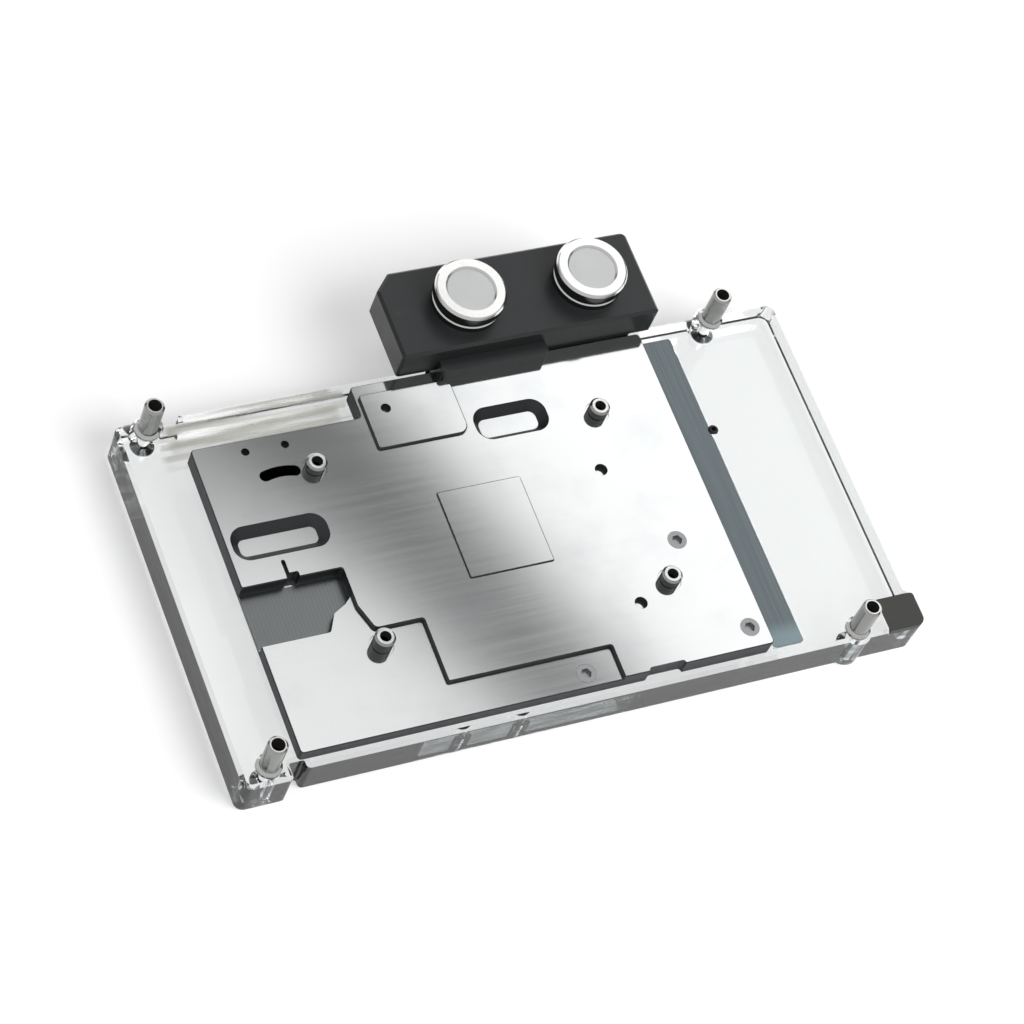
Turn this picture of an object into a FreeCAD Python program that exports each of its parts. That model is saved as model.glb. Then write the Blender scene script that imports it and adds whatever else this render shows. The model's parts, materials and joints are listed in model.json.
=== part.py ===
import FreeCAD, Part
import math
import os

# Full-cover liquid cooling block for a graphics board, in millimetres.
# It lies on its clear top, with the nickel-plated cold plate up. While it is drawn, x runs from the
# clear top's left edge, y from its front edge and z from its underside. At the end every piece is
# moved, so that the origin is the middle of the whole footprint, on the surface it lies on.

Vector = FreeCAD.Vector
UP = Vector(0, 0, 1)
DOWN = Vector(0, 0, -1)
BACK = Vector(0, 1, 0)

# Clearances
thread_gap = 0.05            # round a screw in its hole, on the radius
seat_gap = 0.1               # round a piece in its pocket, on each side
through = 1.0                # how far a cutter runs past the face it opens

# Die, the place that all the coolant ways are laid out from
die_from_left = 64.0         # from the cold plate's left edge
die_from_front = 45.1        # from the cold plate's front edge
die_post_pitch_x = 73.5      # four posts round the die
die_post_pitch_y = 47.2
die_post_rise = 3.3          # their tops, above the cold plate's plateau
die_post_width = 5.0
die_post_thread = 2.5
die_post_hole_depth = 2.6
die_stud = 4.0               # stud that holds a post in the cold plate
die_stud_length = 2.0
die_stud_hole_depth = 2.2
die_stud_hole_point = 0.4
die_ring = 6.0               # spot face under each post, across
die_ring_depth = 0.2
die_boss_left = 10.5         # from the die's middle to each side of its boss
die_boss_right = 11.2
die_boss_front = 12.5
die_boss_back = 11.0
die_boss_rise = 0.4

# Clear top
clear_thick = 12.0
clear_side = 14.0            # clear margin left of the cold plate
clear_front = 2.0
clear_back = 4.0
clear_right = 31.2           # clear margin right of the light slot
clear_corner = 2.2
clear_edge = 0.9             # chamfer round the outer edges
ear_width = 12.0             # ear at the front left, along the edge
ear_reach = 2.0
notch_width = 3.8            # notch beside each left ear
notch_depth = 2.2
notch_corner = 0.5
lobe_radius = 3.9            # boss round each post
pad_width = 10.1             # dark pad at the front right, and the ear that carries it
pad_depth = 8.8
pad_thick = 1.6
pad_reach = 1.5

# Cold plate
base_thick = 3.4             # lowest steps of the upper side
plateau_rise = 1.2
back_pad_rise = 0.8
left_set_in = 8.5            # left of the back shoulder, how far the back edge is set in
shoulder_from_die = 21.0     # back shoulder, left of the die
plate_corner = 1.0
plate_edge = 0.25            # chamfer along the upper edges
strip_depth = 8.7            # low strip along the front edge
strip_end_from_die = 16.5    # end of the strip, right of the die
low_pad_from_die = 25.0      # right side of the low pad at the front left
low_pad_depth = 25.5
low_pad_cut = 12.0           # how far the plateau then reaches left behind the pad
low_pad_slope = 2.2          # sloping side of the plateau from there to the pocket
low_pad_slope_depth = 6.5

# Pocket, slots and small holes of the cold plate, from its left and front edges
pocket_length = 25.0
pocket_front = 27.4
pocket_width = 14.8
pocket_floor = 1.2
pocket_finger = 8.0          # finger of the low pad that stands in the pocket's front right corner
pocket_finger_depth = 8.1
tab_slit_from = 11.2         # slit between the two tabs behind the pocket
tab_slit_width = 1.0
tab_slit_length = 5.0
tab_slit_depth = 1.2
tab_notch_width = 3.2
tab_notch_depth = 1.5
long_slot_left = 1.4
long_slot_length = 23.8
long_slot_front = 48.6
long_slot_width = 9.0
long_slot_depth = 2.4
long_slot_corner = 3.8
slot_slope = 2.3             # sloping side walls, over the slot's whole depth
arch_slot_left = 15.1        # between the middles of its two ends
arch_slot_length = 7.4
arch_slot_front = 69.1
arch_slot_rise = 0.5
arch_slot_width = 2.8
arch_slot_depth = 3.2
oval_from_die = 15.0
oval_behind_die = 26.4
oval_length = 19.0
oval_width = 9.0
oval_depth = 2.6
oval_corner = 3.8
oval_slope = 2.0
back_pad_left = 1.0          # from the back shoulder
back_pad_length = 23.5
back_pad_front = 70.0
back_pad_margin = 3.0
edge_notch_from_die = 23.0
edge_notch_width = 9.5
edge_notch_depth = 1.0
pin_hole_depth = 1.6
pin_small = 2.0              # small blind holes, across
pin_pad = 2.5
pin_large = 3.2
pin_left = (12.6, 22.5)      # at the back of the left part
pin_left_inset = 3.2
pin_pad_from_die = 14.6      # in the back pad
pin_pad_inset = 7.7
pin_right_back = (31.8, 8.4)     # right of the die
pin_right_front = (27.7, -27.7)

# Micro fins under the die
fin_half_length = 22.0
fin_count = 30
fin_pitch = 1.0
fin_slot = 0.5
fin_height = 2.5

# Jet plate and coolant ways in the clear top
jet_thick = 0.6
jet_margin = 1.5             # jet plate past the fins, front and back
jet_corner = 1.5
jet_slit_width = 2.5
jet_slit_short = 2.0         # jet slit shorter than the fin field, at each end
inlet_half_width = 4.0
inlet_floor = 4.0
way_corner = 1.5
inlet_back_from_die = 24.9
inlet_side_depth = 8.0
outlet_width_left = 6.0
outlet_width_right = 7.0
outlet_floor = 4.5
outlet_half_depth = 19.9
outlet_link_depth = 7.0
outlet_side_depth = 11.0
gallery_width = 5.6
gallery_height = 6.3

# Seal cord between cold plate and clear top
seal_cord = 2.0
seal_groove_slack = 0.2
seal_left_from_die = 31.0
seal_front_from_die = 33.1
seal_right_from_die = 31.6
seal_step_from_die = 10.9
seal_back_from_die = 30.9
seal_past_outlet = 7.6
seal_corner = 3.0
plate_past_seal = 4.5
plate_behind_seal = 12.0

# Terminal
port_mid_from_die = 27.75
port_pitch = 32.3
port_from_front = 11.9       # port axis behind the terminal's front face
port_thread = 13.16          # G1/4
port_gap = 0.02              # thread clearance, on the radius
port_thread_depth = 8.0
port_drill = 11.8
port_chamfer = 0.6
terminal_left = 20.4         # from the left port's axis
terminal_right = 15.4        # from the right port's axis
terminal_depth = 23.7
terminal_high = 8.6          # above the plateau
terminal_gap = 0.4           # behind the cold plate's back edge
terminal_corner = 4.5
terminal_edge = 0.7
leg_side = 9.6               # lower body past each port's axis
leg_back_inset = 2.3
leg_floor = 0.4
lip_left = 10.1              # front lip, left and right of the left port's axis
lip_right = 17.9
lip_depth = 3.3
lip_high = 3.9
face_seal_cord = 1.5
face_seal_ring = 8.4         # middle diameter of the O-rings on the galleries

# Port plugs
plug_head = 17.8
plug_head_high = 3.2
plug_flange = 17.2
plug_flange_high = 1.9
plug_neck = 14.6
plug_neck_high = 0.9
plug_dish = 11.6
plug_dish_depth = 0.5
plug_edge = 0.6
plug_shank = 7.4
plug_seal_cord = 1.6
plug_seal_ring = 13.4

# Posts for the graphics board
post_width = 4.8
post_high = 11.0
post_foot = 6.2
post_foot_high = 1.0
post_chamfer = 0.5
post_thread = 3.0
post_top_depth = 4.6
post_low_depth = 4.6
post_left_back = (7.5, 2.8)      # from the left edge and the back edge
post_left_front = (7.0, 2.2)     # from the left edge and the front edge
post_right_back = (18.5, 1.3)    # from the right edge and the back edge
post_right_front = (16.6, 2.6)   # from the right edge and the front edge

# Screws
plate_screw_thread = 2.5
plate_screw_head = 4.7
plate_screw_length = 9.0
front_screw_from_die = 8.2       # visible screws: in the low strip,
front_screw_inset = 3.6
side_screw_from_die = (43.0, -13.8)  # right of the die,
corner_screw_inset = 5.3         # and in the front right corner, over the seal's right side
clear_screw_thread = 2.5
clear_screw_head = 4.5
clear_screw_head_high = 2.5
clear_screw_bite = 2.2           # thread in the copper
clear_screw_margin = 4.5         # from the seal's middle line
clear_screw_margin_front = 6.0
clear_screw_margin_back = 6.5
clear_screw_left_rows = (-12.0, 13.5)    # from the die
clear_screw_columns = (-21.0, -6.0)
clear_screw_right_row = -6.0
post_screw_head = 5.8
terminal_screw_thread = 4.0
terminal_screw_head = 7.0
terminal_screw_head_high = 4.0
terminal_screw_bite = 8.0        # thread in the clear top
terminal_screw_pitch = 12.0
socket_share = 0.5               # hexagon socket across, of the head's width
head_sunk = 0.2                  # heads lie this far under the face

# Light strip
light_gap = 1.6                  # clear web between cold plate and strip
light_width = 8.2
light_margin_front = 2.6
light_margin_back = 4.6
light_cover_thick = 1.5
light_ledge = 0.8
light_end_ledge = 3.0
light_board_thick = 0.8
light_slot_depth = 4.0
light_led = 3.0
light_led_high = 1.3
light_led_count = 14
light_corner = 0.8
lead_hole = 2.6
lead_from_front = 62.3
lead_offset = 0.8                # hole's middle outside the slot
grommet_proud = 0.5
grommet_length = 3.0
grommet_bore = 1.2

# Places that follow from the sizes above
cold_left = clear_side
cold_front = clear_front
die_x = cold_left + die_from_left
die_y = cold_front + die_from_front
port_left_x = die_x + port_mid_from_die - port_pitch / 2
port_right_x = die_x + port_mid_from_die + port_pitch / 2
seal_left = die_x - seal_left_from_die
seal_front = die_y - seal_front_from_die
seal_inner_right = die_x + seal_right_from_die
seal_step = die_y + seal_step_from_die
seal_right = port_right_x + seal_past_outlet
seal_back = die_y + seal_back_from_die
cold_right = seal_right + plate_past_seal
cold_back = seal_back + plate_behind_seal
light_left = cold_right + light_gap
light_right = light_left + light_width
clear_length = light_right + clear_right
left_back = cold_back - left_set_in
clear_width = cold_back + clear_back
light_front = light_margin_front
light_back = clear_width - light_margin_back

base_top = clear_thick + base_thick
plateau_top = base_top + plateau_rise
back_pad_top = plateau_top + back_pad_rise
die_top = plateau_top + die_boss_rise
terminal_top = plateau_top + terminal_high
fin_half_width = fin_count * fin_pitch / 2

terminal_front = cold_back + terminal_gap
terminal_back = terminal_front + terminal_depth
port_y = terminal_front + port_from_front
port_xs = (port_left_x, port_right_x)
posts = {
    "standoff_back_left": (post_left_back[0], clear_width - post_left_back[1]),
    "standoff_back_right": (clear_length - post_right_back[0], clear_width - post_right_back[1]),
    "standoff_front_left": post_left_front,
    "standoff_front_right": (clear_length - post_right_front[0], post_right_front[1]),
}
die_posts = {
    "die_post_front_left": (-1, -1),
    "die_post_back_left": (-1, 1),
    "die_post_front_right": (1, -1),
    "die_post_back_right": (1, 1),
}
for name, (side, end) in die_posts.items():
    x = die_x + side * die_post_pitch_x / 2
    y = die_y + end * die_post_pitch_y / 2
    on_low_pad = x < die_x - low_pad_from_die and y < cold_front + low_pad_depth
    die_posts[name] = (x, y, (base_top if on_low_pad else plateau_top) - die_ring_depth)


# Basic forms

def outline(corners):
    """Closed flat wire through (x, y, radius) corners, each rounded by its radius."""
    edges = []
    last_leave = None
    first_enter = None
    for index, (x, y, radius) in enumerate(corners):
        here = Vector(x, y, 0)
        before = Vector(*corners[index - 1][:2], 0) - here
        after = Vector(*corners[(index + 1) % len(corners)][:2], 0) - here
        before.normalize()
        after.normalize()
        half = before.getAngle(after) / 2
        enter = here + before * (radius / math.tan(half))
        leave = here + after * (radius / math.tan(half))
        if last_leave is None:
            first_enter = enter
        elif last_leave.distanceToPoint(enter) > 1e-6:
            edges.append(Part.makeLine(last_leave, enter))
        if radius > 0:
            inward = (before + after).normalize()
            middle = here + inward * (radius / math.sin(half) - radius)
            edges.append(Part.Arc(enter, middle, leave).toShape())
        last_leave = leave
    if last_leave.distanceToPoint(first_enter) > 1e-6:
        edges.append(Part.makeLine(last_leave, first_enter))
    return Part.Wire(Part.__sortEdges__(edges))


def slab(corners, low, high):
    """Flat piece with a rounded outline between two heights."""
    wire = outline(corners)
    wire.translate(UP * low)
    return Part.Face(wire).extrude(UP * (high - low))


def block(left, right, front, back, low, high, radius=0.0):
    """Upright block with its four vertical edges rounded."""
    radius = min(radius, (right - left) / 2, (back - front) / 2)
    corners = [(left, front, radius), (right, front, radius), (right, back, radius), (left, back, radius)]
    return slab(corners, low, high)


def rod(x, y, width, low, high):
    return Part.makeCylinder(width / 2, high - low, Vector(x, y, low))


def rod_back(x, z, width, front, back):
    return Part.makeCylinder(width / 2, back - front, Vector(x, front, z), BACK)


def turned(points):
    """Solid of revolution about z through (radius, height) points."""
    wire = Part.makePolygon([Vector(radius, 0, height) for radius, height in points + points[:1]])
    return Part.Face(wire).revolve(Vector(0, 0, 0), UP, 360)


def placed(shape, x, y, z, toward=UP):
    """Copy of a shape with its z axis turned to point the given way."""
    copy = shape.copy()
    copy.Placement = FreeCAD.Placement(Vector(x, y, z), FreeCAD.Rotation(UP, toward))
    return copy


def fused(shapes):
    return shapes[0].multiFuse(shapes[1:]).removeSplitter()


def chamfered(body, height, size):
    """Body with the outer edges of its level face at this height chamfered."""
    edges = []
    for face in body.Faces:
        flat = face.BoundBox.ZLength < 1e-4 and abs(face.BoundBox.ZMin - height) < 1e-4
        if flat:
            edges += face.OuterWire.Edges
    return body.makeChamfer(size, edges)


def cord_section(cord):
    """Eight-sided section of a seated seal, flat where it meets its groove and the face opposite."""
    radius = cord / 2 / math.cos(math.pi / 8)
    angles = [(side + 0.5) * math.pi / 4 for side in range(8)]
    return [(radius * math.cos(angle), radius * math.sin(angle)) for angle in angles]


def ring(middle_width, cord):
    return turned([(middle_width / 2 + out, height) for out, height in cord_section(cord)])


# Screws, drawn upright with the head's top at z = 0 and the thread below

def socket(head_width, depth):
    """Hexagon socket cutter below z = 0."""
    radius = head_width * socket_share / math.sqrt(3)
    corners = [(radius * math.cos(step * math.pi / 3), radius * math.sin(step * math.pi / 3), 0)
               for step in range(6)]
    return slab(corners, -depth, through)


def flat_screw(thread, head, length, gap=0.0, above=0.0):
    """Countersunk screw, or with a gap and some height above it the cutter of its seat."""
    radius = head / 2 + gap
    shank = thread / 2 + gap
    rim = 0.25
    points = [(0, -length - gap), (shank, -length - gap), (shank, -rim - radius + shank),
              (radius, -rim), (radius, above), (0, above)]
    return turned(points)


def cap_screw(thread, head, head_high, length, gap=0.0, above=0.0):
    """Cap screw, or with a gap and some height above it the cutter of its seat."""
    radius = head / 2 + gap
    shank = thread / 2 + gap
    points = [(0, -head_high - length - gap), (shank, -head_high - length - gap), (shank, -head_high),
              (radius, -head_high), (radius, above), (0, above)]
    return turned(points)


def plate_screw_spots():
    """Countersunk screws that show on the cold plate: x, y and the height of their face."""
    return [
        (seal_right, cold_front + corner_screw_inset, plateau_top),
        (die_x + side_screw_from_die[0], die_y + side_screw_from_die[1], plateau_top),
        (die_x + front_screw_from_die, cold_front + front_screw_inset, base_top),
    ]


def clear_screw_spots():
    """Cap screws that come through the clear top into the copper, round the seal."""
    left = seal_left - clear_screw_margin
    front = seal_front - clear_screw_margin_front
    right = seal_inner_right + clear_screw_margin
    back = seal_back + clear_screw_margin_back
    spots = [(left, die_y + row) for row in clear_screw_left_rows]
    spots += [(die_x + column, front) for column in clear_screw_columns]
    spots += [(right, die_y + clear_screw_right_row)]
    spots += [(x, back) for x in (die_x + clear_screw_columns[-1], die_x + port_mid_from_die, seal_right)]
    return spots


def terminal_screw_xs():
    middle = (port_left_x + port_right_x) / 2
    return (middle - terminal_screw_pitch / 2, middle + terminal_screw_pitch / 2)


# Clear top

def clear_blank():
    """Outer form: plate with ears, notches and a lobe round each post."""
    notch_end = ear_width + notch_width
    right = clear_length + pad_reach
    outer = clear_edge + 0.2
    corners = [
        (0, -ear_reach, clear_corner),
        (ear_width, -ear_reach, outer),
        (ear_width, notch_depth, notch_corner),
        (notch_end, notch_depth, notch_corner),
        (notch_end, 0, outer),
        (right, 0, clear_corner),
        (right, pad_depth, outer),
        (clear_length, pad_depth + pad_reach, notch_corner),
        (clear_length, clear_width, clear_corner),
        (notch_end, clear_width, outer),
        (notch_end, clear_width - notch_depth, notch_corner),
        (ear_width, clear_width - notch_depth, notch_corner),
        (ear_width, clear_width, outer),
        (0, clear_width, clear_corner),
    ]
    plate = chamfered(slab(corners, 0, clear_thick), clear_thick, clear_edge)
    lobe = turned([
        (0, 0),
        (lobe_radius - clear_edge, 0),
        (lobe_radius, clear_edge),
        (lobe_radius, clear_thick - clear_edge),
        (lobe_radius - clear_edge, clear_thick),
        (0, clear_thick),
    ])
    lobes = [placed(lobe, x, y, 0) for x, y in posts.values()]
    return fused([chamfered(plate, 0, clear_edge)] + lobes)


def seal_path():
    return [
        (seal_left, seal_front, seal_corner),
        (seal_inner_right, seal_front, seal_corner),
        (seal_inner_right, seal_step, seal_corner),
        (seal_right, seal_step, seal_corner),
        (seal_right, seal_back, seal_corner),
        (seal_left, seal_back, seal_corner),
    ]


def seal_groove():
    half = (seal_cord + seal_groove_slack) / 2
    path = outline(seal_path())
    face = Part.Face(path.makeOffset2D(half)).cut(Part.Face(path.makeOffset2D(-half)))
    groove = face.extrude(UP * (seal_cord + through))
    groove.translate(UP * (clear_thick - seal_cord))
    return groove


def coolant_ways():
    """Cutters of the inlet chamber, the outlet pockets and the galleries to the back face."""
    top = clear_thick + through
    fins_left = die_x - fin_half_length
    fins_right = die_x + fin_half_length
    ways_back = die_y + inlet_back_from_die
    pockets_front = die_y - outlet_half_depth
    pockets_back = die_y + outlet_half_depth
    link_front = pockets_front - outlet_link_depth
    inlet = [
        block(die_x - inlet_half_width, die_x + inlet_half_width,
              die_y - fin_half_width, ways_back, inlet_floor, top, way_corner),
        block(die_x - inlet_half_width, port_left_x + gallery_width / 2 + 1,
              ways_back - inlet_side_depth, ways_back, inlet_floor, top, way_corner),
    ]
    outlet = [
        block(fins_left - outlet_width_left, fins_left, link_front, pockets_back,
              outlet_floor, top, way_corner),
        block(fins_right, fins_right + outlet_width_right, link_front, pockets_back,
              outlet_floor, top, way_corner),
        block(fins_left - outlet_width_left, fins_right + outlet_width_right,
              link_front, pockets_front, outlet_floor, top, way_corner),
        block(fins_right, port_right_x + gallery_width / 2 + 1,
              ways_back - outlet_side_depth, ways_back, outlet_floor, top, way_corner),
    ]
    gallery_front = ways_back - gallery_width
    galleries = [rod_back(x, gallery_height, gallery_width, gallery_front, clear_width + through)
                 for x in port_xs]
    return inlet + outlet + galleries


def jet_recess():
    low = clear_thick - jet_thick
    half_depth = fin_half_width + jet_margin + seat_gap
    return block(die_x - fin_half_length, die_x + fin_half_length, die_y - half_depth,
                 die_y + half_depth, low, clear_thick + through)


def light_slot():
    """Slot with a ledge for its cover, and the side hole of the light's lead."""
    top = clear_thick + through
    upper = block(light_left, light_right, light_front, light_back,
                  clear_thick - light_cover_thick, top, light_corner)
    lower = block(light_left + light_ledge, light_right - light_ledge, light_front + light_end_ledge,
                  light_back - light_end_ledge, clear_thick - light_slot_depth, top, light_corner)
    lead = rod(light_right + lead_offset, lead_from_front, lead_hole,
               clear_thick - light_slot_depth, top)
    return [upper, lower, lead]


def clear_top():
    seats = [placed(flat_screw(plate_screw_thread, plate_screw_head, plate_screw_length, thread_gap),
                    x, y, top) for x, y, top in plate_screw_spots()]
    clear_seat = cap_screw(clear_screw_thread, clear_screw_head, clear_screw_head_high,
                           clear_thick, thread_gap, through)
    seats += [placed(clear_seat, x, y, head_sunk, DOWN) for x, y in clear_screw_spots()]
    post_seat = flat_screw(post_thread, post_screw_head, clear_thick, thread_gap, through)
    seats += [placed(post_seat, x, y, head_sunk, DOWN) for x, y in posts.values()]
    bite = terminal_screw_bite + thread_gap
    seats += [rod_back(x, gallery_height, terminal_screw_thread + 2 * thread_gap,
                       clear_width - bite, clear_width + through) for x in terminal_screw_xs()]
    pad_cut = block(clear_length + pad_reach - pad_width, clear_length + pad_reach + through, -through,
                    pad_depth + seat_gap, clear_thick - pad_thick, clear_thick + through)
    cutters = seats + coolant_ways() + light_slot() + [seal_groove(), jet_recess(), pad_cut]
    return clear_blank().cut(cutters)


# Cold plate

def stepped(corners, low, high):
    """Flat step with its upper edges chamfered."""
    return chamfered(slab(corners, low, high), high, plate_edge)


def cold_base():
    shoulder = die_x - shoulder_from_die
    return stepped([
        (cold_left, cold_front, plate_corner),
        (cold_right, cold_front, plate_corner),
        (cold_right, cold_back, plate_corner),
        (shoulder, cold_back, plate_corner),
        (shoulder, left_back, plate_corner),
        (cold_left, left_back, plate_corner),
    ], clear_thick, base_top)


def cold_plateau():
    """Middle step: all but the low strip and the low pad along the front."""
    shoulder = die_x - shoulder_from_die
    pad_right = die_x - low_pad_from_die
    strip_end = die_x + strip_end_from_die
    strip_back = cold_front + strip_depth
    pad_back = cold_front + low_pad_depth
    step_x = pad_right - low_pad_cut
    side_x = step_x - low_pad_slope
    side_y = pad_back + low_pad_slope_depth
    pocket_back = cold_front + pocket_front + pocket_width
    return stepped([
        (pad_right, strip_back, 0.6),
        (strip_end, strip_back, 0.6),
        (strip_end, cold_front, 0.3),
        (cold_right, cold_front, plate_corner),
        (cold_right, cold_back, plate_corner),
        (shoulder, cold_back, plate_corner),
        (shoulder, left_back, plate_corner),
        (cold_left, left_back, plate_corner),
        (cold_left, pocket_back, 0.6),
        (side_x, pocket_back, 0.6),
        (side_x, side_y, 1.5),
        (step_x, pad_back, 1.5),
        (pad_right, pad_back, 0.6),
    ], base_top - plate_edge, plateau_top)


def cold_steps():
    """Raised back pad and die boss."""
    pad_left = die_x - shoulder_from_die + back_pad_left
    pad = stepped([
        (pad_left, cold_front + back_pad_front, 0.8),
        (pad_left + back_pad_length, cold_front + back_pad_front, 2.5),
        (pad_left + back_pad_length, cold_back - back_pad_margin, 2.5),
        (pad_left, cold_back - back_pad_margin, 0.8),
    ], plateau_top, back_pad_top)
    boss = block(die_x - die_boss_left, die_x + die_boss_right, die_y - die_boss_front,
                 die_y + die_boss_back, plateau_top, die_top, 0.5)
    boss = chamfered(boss, die_top, plate_edge)
    return [pad, boss]


def sloped_slot(corners, low, high, slope):
    """Slot whose side walls slope out, from its floor to the level face that it opens through."""
    wide = outline(corners)
    narrow = wide.makeOffset2D(-slope)
    wide.translate(UP * high)
    narrow.translate(UP * low)
    slopes = Part.makeLoft([narrow, wide], True, True)
    mouth = Part.Face(wide).extrude(UP * through)
    return fused([slopes, mouth])


def rectangle(left, right, front, back, radius):
    return [(left, front, radius), (right, front, radius), (right, back, radius), (left, back, radius)]


def left_cuts():
    """Pocket open to the left edge, slit and notch between the tabs, and the long slot."""
    top = back_pad_top + through
    pocket_y = cold_front + pocket_front
    pocket_back = pocket_y + pocket_width
    pocket_right = cold_left + pocket_length
    pocket_open = cold_left - through
    finger_x = pocket_right - pocket_finger
    finger_y = pocket_y + pocket_finger_depth
    pocket = slab([
        (pocket_open, pocket_y, 0),
        (finger_x, pocket_y, plate_corner),
        (finger_x + pocket_finger * 0.3, finger_y - pocket_finger_depth * 0.45, plate_corner),
        (finger_x + pocket_finger * 0.7, finger_y - pocket_finger_depth * 0.25, plate_corner),
        (pocket_right, finger_y, plate_corner),
        (pocket_right, pocket_back, plate_corner),
        (pocket_open, pocket_back, 0),
    ], clear_thick + pocket_floor, top)
    slit_x = cold_left + tab_slit_from
    slit = block(slit_x, slit_x + tab_slit_width, pocket_back, pocket_back + tab_slit_length,
                 plateau_top - tab_slit_depth, top, tab_slit_width / 2)
    notch = block(slit_x, slit_x + tab_notch_width, pocket_back - plate_corner,
                  pocket_back + tab_notch_depth, clear_thick + pocket_floor, top, plate_corner / 2)
    slot_left = cold_left + long_slot_left
    slot_front = cold_front + long_slot_front
    slot = sloped_slot(rectangle(slot_left, slot_left + long_slot_length, slot_front,
                                 slot_front + long_slot_width, long_slot_corner),
                       plateau_top - long_slot_depth, plateau_top, slot_slope)
    return [pocket, slit, notch, slot]


def arch_slot():
    """Short slot along a flat arc that bulges to the back."""
    half = arch_slot_length / 2
    middle_x = cold_left + arch_slot_left + half
    radius = (half ** 2 + arch_slot_rise ** 2) / (2 * arch_slot_rise)
    centre_y = cold_front + arch_slot_front + arch_slot_rise - radius
    low = plateau_top - arch_slot_depth
    high = plateau_top + through
    start = math.degrees(math.asin(half / radius))
    band = rod(middle_x, centre_y, 2 * radius + arch_slot_width, low, high)
    band = band.cut(rod(middle_x, centre_y, 2 * radius - arch_slot_width, low, high))
    reach = 2 * radius
    wedge = Part.makePolygon([
        Vector(middle_x, centre_y, low),
        Vector(middle_x - reach * math.sin(math.radians(start)),
               centre_y + reach * math.cos(math.radians(start)), low),
        Vector(middle_x + reach * math.sin(math.radians(start)),
               centre_y + reach * math.cos(math.radians(start)), low),
        Vector(middle_x, centre_y, low),
    ])
    arc = band.common(Part.Face(wedge).extrude(UP * (high - low)))
    ends = [rod(middle_x + side * half, cold_front + arch_slot_front, arch_slot_width, low, high)
            for side in (-1, 1)]
    return fused([arc] + ends)


def right_cuts():
    """Oval recess behind the die and the notch in the front edge."""
    top = back_pad_top + through
    oval_x = die_x + oval_from_die
    oval_y = die_y + oval_behind_die
    mouth = rectangle(oval_x - oval_length / 2, oval_x + oval_length / 2,
                      oval_y - oval_width / 2, oval_y + oval_width / 2, oval_corner)
    oval = sloped_slot(mouth, plateau_top - oval_depth, plateau_top, oval_slope)
    notch_x = die_x + edge_notch_from_die
    notch = block(notch_x, notch_x + edge_notch_width, cold_front - through - plate_corner,
                  cold_front + edge_notch_depth, clear_thick - through, top, 0.8)
    return [oval, notch]


def die_post_cuts():
    """Tapped blind hole and spot face for each post round the die."""
    cuts = []
    for x, y, seat in die_posts.values():
        hole = turned([
            (0, -die_stud_hole_depth - die_stud_hole_point),
            (die_stud / 2, -die_stud_hole_depth),
            (die_stud / 2, 0),
            (die_ring / 2, 0),
            (die_ring / 2, through + die_boss_rise),
            (0, through + die_boss_rise),
        ])
        cuts.append(placed(hole, x, y, seat))
    return cuts


def pin_hole_cuts():
    """Small blind holes: x, y, width and the height of the face they start from."""
    spots = [
        (die_x - pin_pad_from_die, cold_back - pin_pad_inset, pin_pad, back_pad_top),
        (die_x + pin_right_back[0], die_y + pin_right_back[1], pin_large, plateau_top),
        (die_x + pin_right_front[0], die_y + pin_right_front[1], pin_large, plateau_top),
        (cold_left + pin_left[0], left_back - pin_left_inset, pin_small, plateau_top),
        (cold_left + pin_left[1], left_back - pin_left_inset, pin_small, plateau_top),
    ]
    return [rod(x, y, width, level - pin_hole_depth, level + through) for x, y, width, level in spots]


def fin_cuts():
    """Slots between the micro fins, in the underside."""
    front = die_y - fin_half_width + (fin_pitch - fin_slot) / 2
    return [block(die_x - fin_half_length, die_x + fin_half_length, front + step * fin_pitch,
                  front + step * fin_pitch + fin_slot, clear_thick - through, clear_thick + fin_height)
            for step in range(fin_count)]


def cold_plate():
    screw_seat = flat_screw(plate_screw_thread, plate_screw_head, plate_screw_length,
                            thread_gap, through)
    seats = [placed(screw_seat, x, y, top) for x, y, top in plate_screw_spots()]
    seats += [rod(x, y, clear_screw_thread + 2 * thread_gap, clear_thick - through,
                  clear_thick + clear_screw_bite + thread_gap) for x, y in clear_screw_spots()]
    body = fused([cold_base(), cold_plateau()] + cold_steps())
    cutters = seats + left_cuts() + [arch_slot()] + right_cuts()
    cutters += die_post_cuts() + pin_hole_cuts() + fin_cuts()
    return body.cut(cutters)


def jet_plate():
    half_length = fin_half_length - seat_gap
    half_depth = fin_half_width + jet_margin
    low = clear_thick - jet_thick
    plate = block(die_x - half_length, die_x + half_length, die_y - half_depth, die_y + half_depth,
                  low, clear_thick, jet_corner)
    slit_half = fin_half_width - jet_slit_short
    slit = block(die_x - jet_slit_width / 2, die_x + jet_slit_width / 2, die_y - slit_half,
                 die_y + slit_half, low - through, clear_thick + through, jet_slit_width / 2)
    return plate.cut(slit)


def plate_seal():
    path = outline(seal_path())
    path.translate(UP * (clear_thick - seal_cord / 2))
    start = path.OrderedEdges[0]
    point = start.valueAt(start.FirstParameter)
    aside = start.tangentAt(start.FirstParameter).cross(UP)
    corners = [point + aside * out + UP * height for out, height in cord_section(seal_cord)]
    section = Part.makePolygon(corners + corners[:1])
    return path.makePipeShell([section], True, False)


# Terminal

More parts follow.
